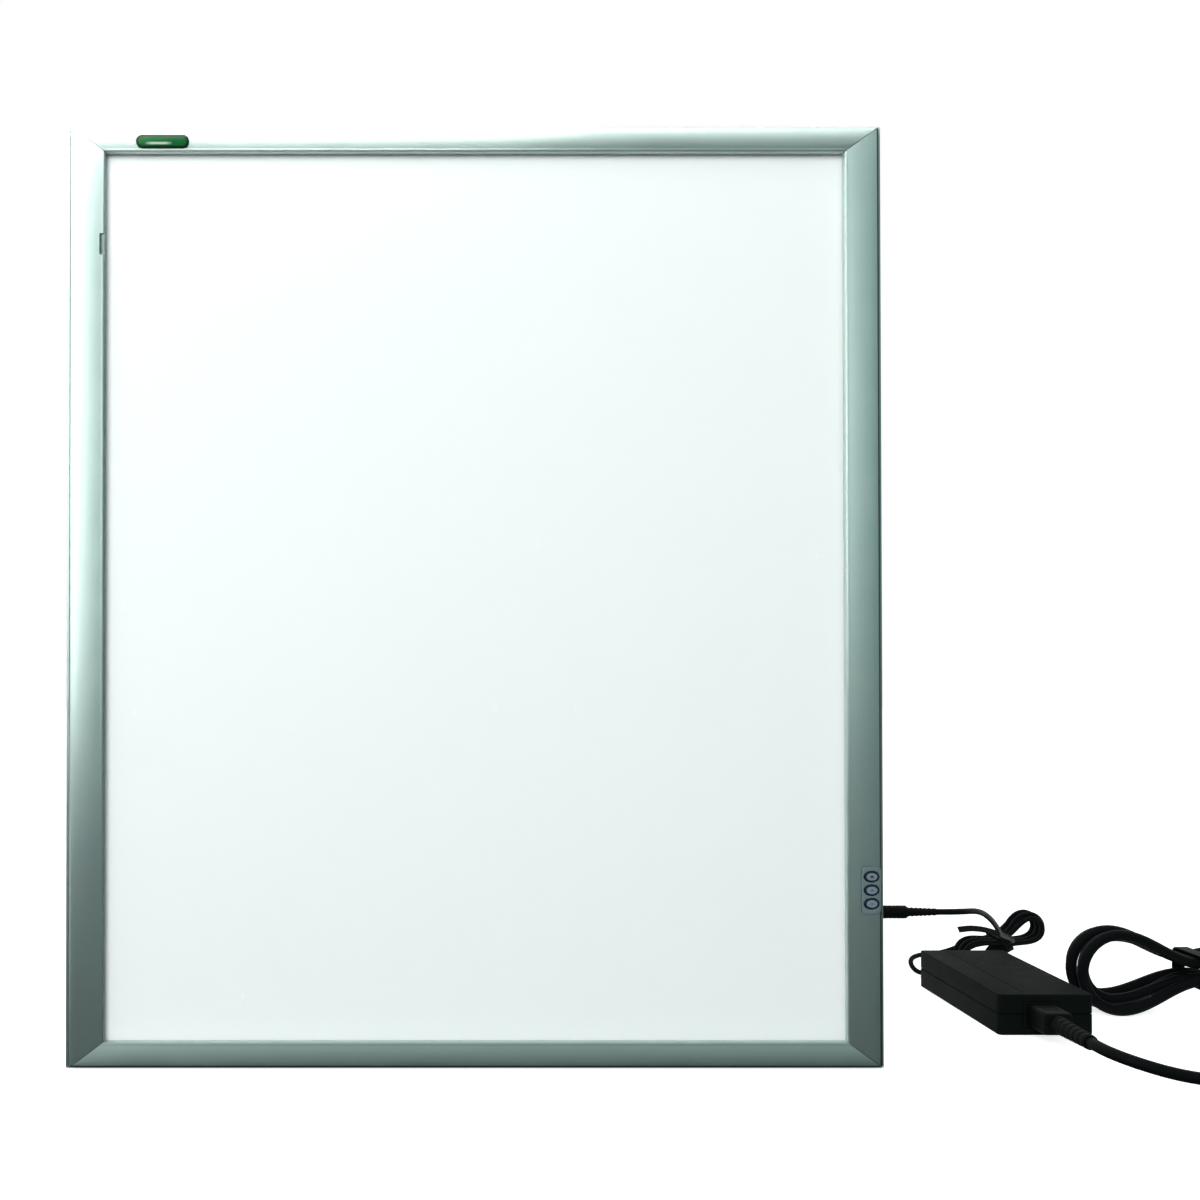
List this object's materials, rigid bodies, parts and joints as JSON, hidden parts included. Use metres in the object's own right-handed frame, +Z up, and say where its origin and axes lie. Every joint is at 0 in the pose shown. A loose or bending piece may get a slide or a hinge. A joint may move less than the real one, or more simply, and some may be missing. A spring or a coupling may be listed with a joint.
{
  "type": "x-ray film view box",
  "caption": "Slim edge-lit view box for x-ray films in a silver snap frame with hinged mitred rails, key pad, power adapter and cords.",
  "frame": {"origin": "middle of the panel's bottom edge, halfway through its depth, on the surface that it stands on", "axes": "+Z up, the lit front faces -Y, +X to the viewer's right"},
  "size_m": [0.8215, 0.2752, 0.508],
  "materials": {
    "aluminium": "satin anodised",
    "steel": "zinc plated",
    "back_panel": "plain sheet",
    "white_plastic": "white",
    "diffuser": "opal",
    "clear_plastic": "clear acrylic",
    "circuit_board": "green board",
    "control_label": "smooth label",
    "button_plastic": "satin",
    "badge_green": "glossy",
    "grip_rubber": "matte",
    "black_plastic": "fine grain",
    "black_rubber": "satin",
    "cord_jacket": "satin",
    "copper": "lacquered",
    "capacitor_can": "sleeved"
  },
  "bodies": {
    "root": {"base_rail_left": "aluminium", "base_rail_right": "aluminium", "base_rail_top": "aluminium", "base_rail_bottom": "aluminium", "corner_key_bottom_left": "steel", "corner_key_bottom_right": "steel", "corner_key_top_left": "steel", "corner_key_top_right": "steel", "corner_screw_bottom_left": "steel", "corner_screw_bottom_right": "steel", "corner_screw_top_left": "steel", "corner_screw_top_right": "steel", "snap_spring_left_1": "steel", "snap_spring_left_2": "steel", "snap_spring_right_1": "steel", "snap_spring_right_2": "steel", "snap_spring_top": "steel", "snap_spring_bottom": "steel", "dc_plug_barrel": "steel", "mains_plug_pins": "steel", "back_panel": "back_panel", "reflector_sheet": "white_plastic", "led_strip_left": "white_plastic", "led_strip_right": "white_plastic", "led_lead_left": "white_plastic", "led_lead_right": "white_plastic", "diffuser_sheet": "diffuser", "light_guide": "clear_plastic", "clear_cover_sheet": "clear_plastic", "control_board": "circuit_board", "adapter_board": "circuit_board", "dc_jack": "black_plastic", "adapter_top_shell": "black_plastic", "adapter_bottom_shell": "black_plastic", "mains_inlet": "black_plastic", "mains_connector": "black_plastic", "mains_plug_body": "black_plastic", "dc_plug_body": "black_rubber", "adapter_strain_relief": "black_rubber", "dc_hank_tie": "black_rubber", "mains_hank_tie": "black_rubber", "dc_cord_free": "cord_jacket", "dc_cord_hank": "cord_jacket", "dc_cord_tail": "cord_jacket", "mains_cord_free": "cord_jacket", "mains_cord_hank": "cord_jacket", "mains_cord_tail": "cord_jacket", "adapter_transformer": "copper", "adapter_capacitor": "capacitor_can"},
    "snap_rail_left": {"snap_rail_left": "aluminium"},
    "snap_rail_right": {"snap_rail_right": "aluminium", "control_plate": "control_label"},
    "snap_rail_top": {"snap_rail_top": "aluminium", "badge_plate": "badge_green", "film_grip_strip": "grip_rubber"},
    "snap_rail_bottom": {"snap_rail_bottom": "aluminium"},
    "power_button": {"power_button": "button_plastic"},
    "brighter_button": {"brighter_button": "button_plastic"},
    "dimmer_button": {"dimmer_button": "button_plastic"}
  },
  "joints": [
    {"name": "snap_rail_left_hinge", "type": "hinge", "parent": "root", "child": "snap_rail_left", "pos_m": [-0.2158, -0.004, 0.254], "axis": [0, 0, -1], "range_deg": [0, 90]},
    {"name": "snap_rail_right_hinge", "type": "hinge", "parent": "root", "child": "snap_rail_right", "pos_m": [0.2158, -0.004, 0.254], "axis": [0, 0, 1], "range_deg": [0, 90]},
    {"name": "snap_rail_top_hinge", "type": "hinge", "parent": "root", "child": "snap_rail_top", "pos_m": [0, -0.004, 0.5044], "axis": [-1, 0, 0], "range_deg": [0, 90]},
    {"name": "snap_rail_bottom_hinge", "type": "hinge", "parent": "root", "child": "snap_rail_bottom", "pos_m": [0, -0.004, 0.0036], "axis": [1, 0, 0], "range_deg": [0, 90]},
    {"name": "power_button_press", "type": "slide", "parent": "snap_rail_right", "child": "power_button", "axis": [0, 1, 0], "range_m": [0, 0.0005], "stiffness_N_per_m": 1500},
    {"name": "brighter_button_press", "type": "slide", "parent": "snap_rail_right", "child": "brighter_button", "axis": [0, 1, 0], "range_m": [0, 0.0005], "stiffness_N_per_m": 1500},
    {"name": "dimmer_button_press", "type": "slide", "parent": "snap_rail_right", "child": "dimmer_button", "axis": [0, 1, 0], "range_m": [0, 0.0005], "stiffness_N_per_m": 1500}
  ]
}
